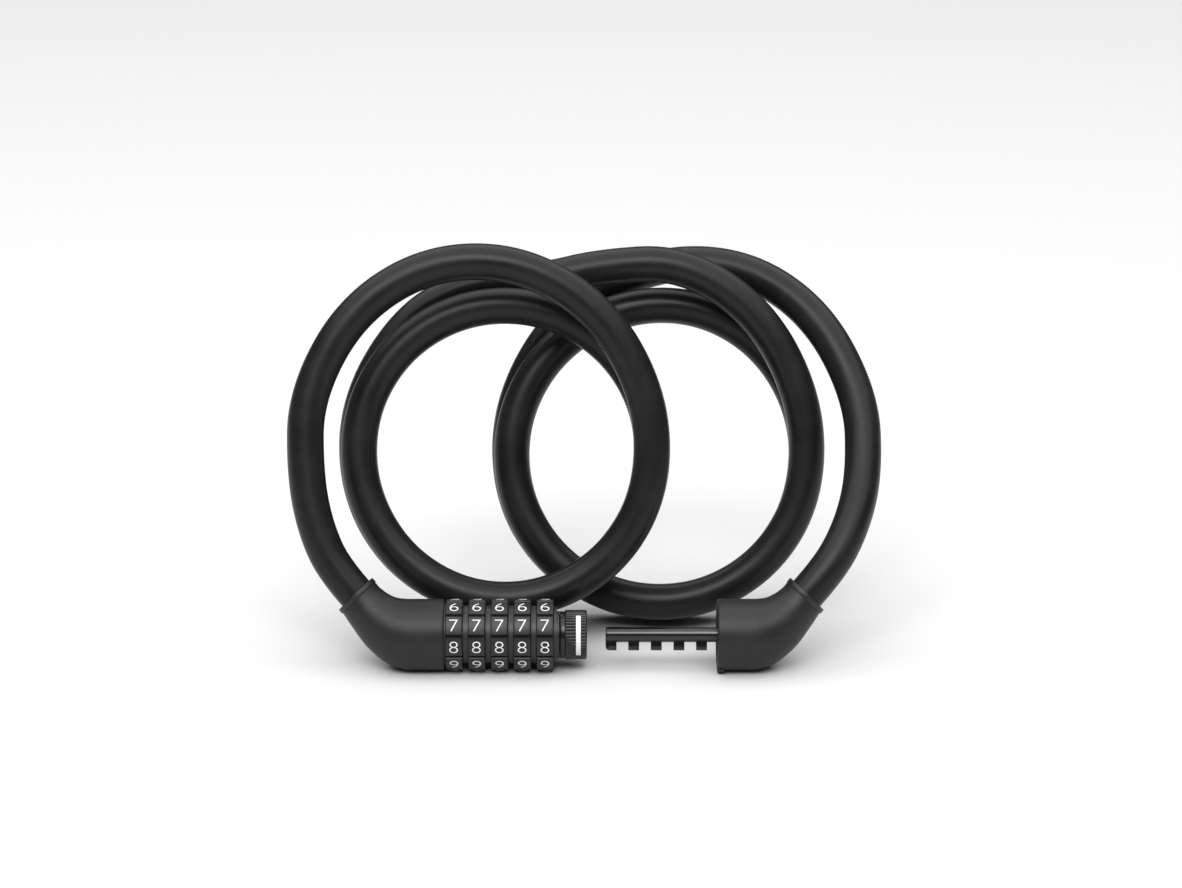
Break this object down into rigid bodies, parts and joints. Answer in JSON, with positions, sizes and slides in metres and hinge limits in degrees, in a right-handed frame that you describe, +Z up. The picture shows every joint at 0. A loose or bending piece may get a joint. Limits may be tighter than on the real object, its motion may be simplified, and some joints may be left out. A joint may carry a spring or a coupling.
{
  "type": "cable lock",
  "caption": "Coiled cable bicycle lock with a numbered combination barrel and a toothed key bolt on its two ends.",
  "frame": {"origin": "on the surface the lock rests on, straight below the lock's axis, midway between the two fittings' facing ends", "axes": "+X along the lock's axis from the lock body to the key end, +Z up, -Y towards the front of the coil"},
  "size_m": [0.1945, 0.1014, 0.1323],
  "materials": {
    "cable_jacket": "satin black soft sheath",
    "fitting_cover": "satin black moulded cover",
    "collar_band": "satin black moulded band",
    "dial": "satin black with white numerals",
    "hub": "machined",
    "core": "satin black",
    "steel": "machined",
    "ball": "polished",
    "knob": "gloss black knurled",
    "index_mark": "white inlay",
    "bolt": "black nickel plated"
  },
  "bodies": {
    "lock": {"lock_cover": "fitting_cover", "lock_collar": "collar_band", "lock_front_plate": "core", "lock_core_block": "steel", "lock_barrel": "steel", "lock_anchor": "steel", "lock_ferrule": "steel", "lock_end_plate": "core", "barrel_clip": "steel", "spacer_1": "core", "spacer_2": "core", "spacer_3": "core", "spacer_4": "core", "detent_ball_1": "ball", "detent_ball_2": "ball", "detent_ball_3": "ball", "detent_ball_4": "ball", "detent_ball_5": "ball", "cable_turn_1": "cable_jacket", "cable_turn_2": "cable_jacket", "cable_turn_3": "cable_jacket", "cable_turn_4": "cable_jacket", "cable_turn_5": "cable_jacket", "cable_tail": "cable_jacket"},
    "wheel_1": {"dial_1": "dial", "hub_1": "hub"},
    "wheel_2": {"dial_2": "dial", "hub_2": "hub"},
    "wheel_3": {"dial_3": "dial", "hub_3": "hub"},
    "wheel_4": {"dial_4": "dial", "hub_4": "hub"},
    "wheel_5": {"dial_5": "dial", "hub_5": "hub"},
    "setting_knob": {"knob": "knob", "knob_mark": "index_mark"},
    "key_end": {"bolt_cover": "fitting_cover", "bolt_collar": "collar_band", "bolt_anchor": "steel", "bolt_ferrule": "steel", "socket_liner": "core", "locating_tab": "core", "bolt_carrier": "steel", "bolt": "bolt"}
  },
  "joints": [
    {"name": "wheel_1_turn", "type": "hinge", "parent": "lock", "child": "wheel_1", "pos_m": [-0.04152, 0, 0.01155], "axis": [1, 0, 0], "continuous": true},
    {"name": "wheel_2_turn", "type": "hinge", "parent": "lock", "child": "wheel_2", "pos_m": [-0.0342, 0, 0.01155], "axis": [1, 0, 0], "continuous": true},
    {"name": "wheel_3_turn", "type": "hinge", "parent": "lock", "child": "wheel_3", "pos_m": [-0.02686, 0, 0.01155], "axis": [1, 0, 0], "continuous": true},
    {"name": "wheel_4_turn", "type": "hinge", "parent": "lock", "child": "wheel_4", "pos_m": [-0.01954, 0, 0.01155], "axis": [1, 0, 0], "continuous": true},
    {"name": "wheel_5_turn", "type": "hinge", "parent": "lock", "child": "wheel_5", "pos_m": [-0.01221, 0, 0.01155], "axis": [1, 0, 0], "continuous": true},
    {"name": "knob_turn", "type": "hinge", "parent": "lock", "child": "setting_knob", "pos_m": [-0.00315, 0, 0.01155], "axis": [1, 0, 0], "range_deg": [0, 90]},
    {"name": "bolt_slide", "type": "slide", "parent": "lock", "child": "key_end", "axis": [-1, 0, 0], "range_m": [0, 0.0516], "stiffness_N_per_m": 30, "deforming": ["cable_tail"]}
  ]
}
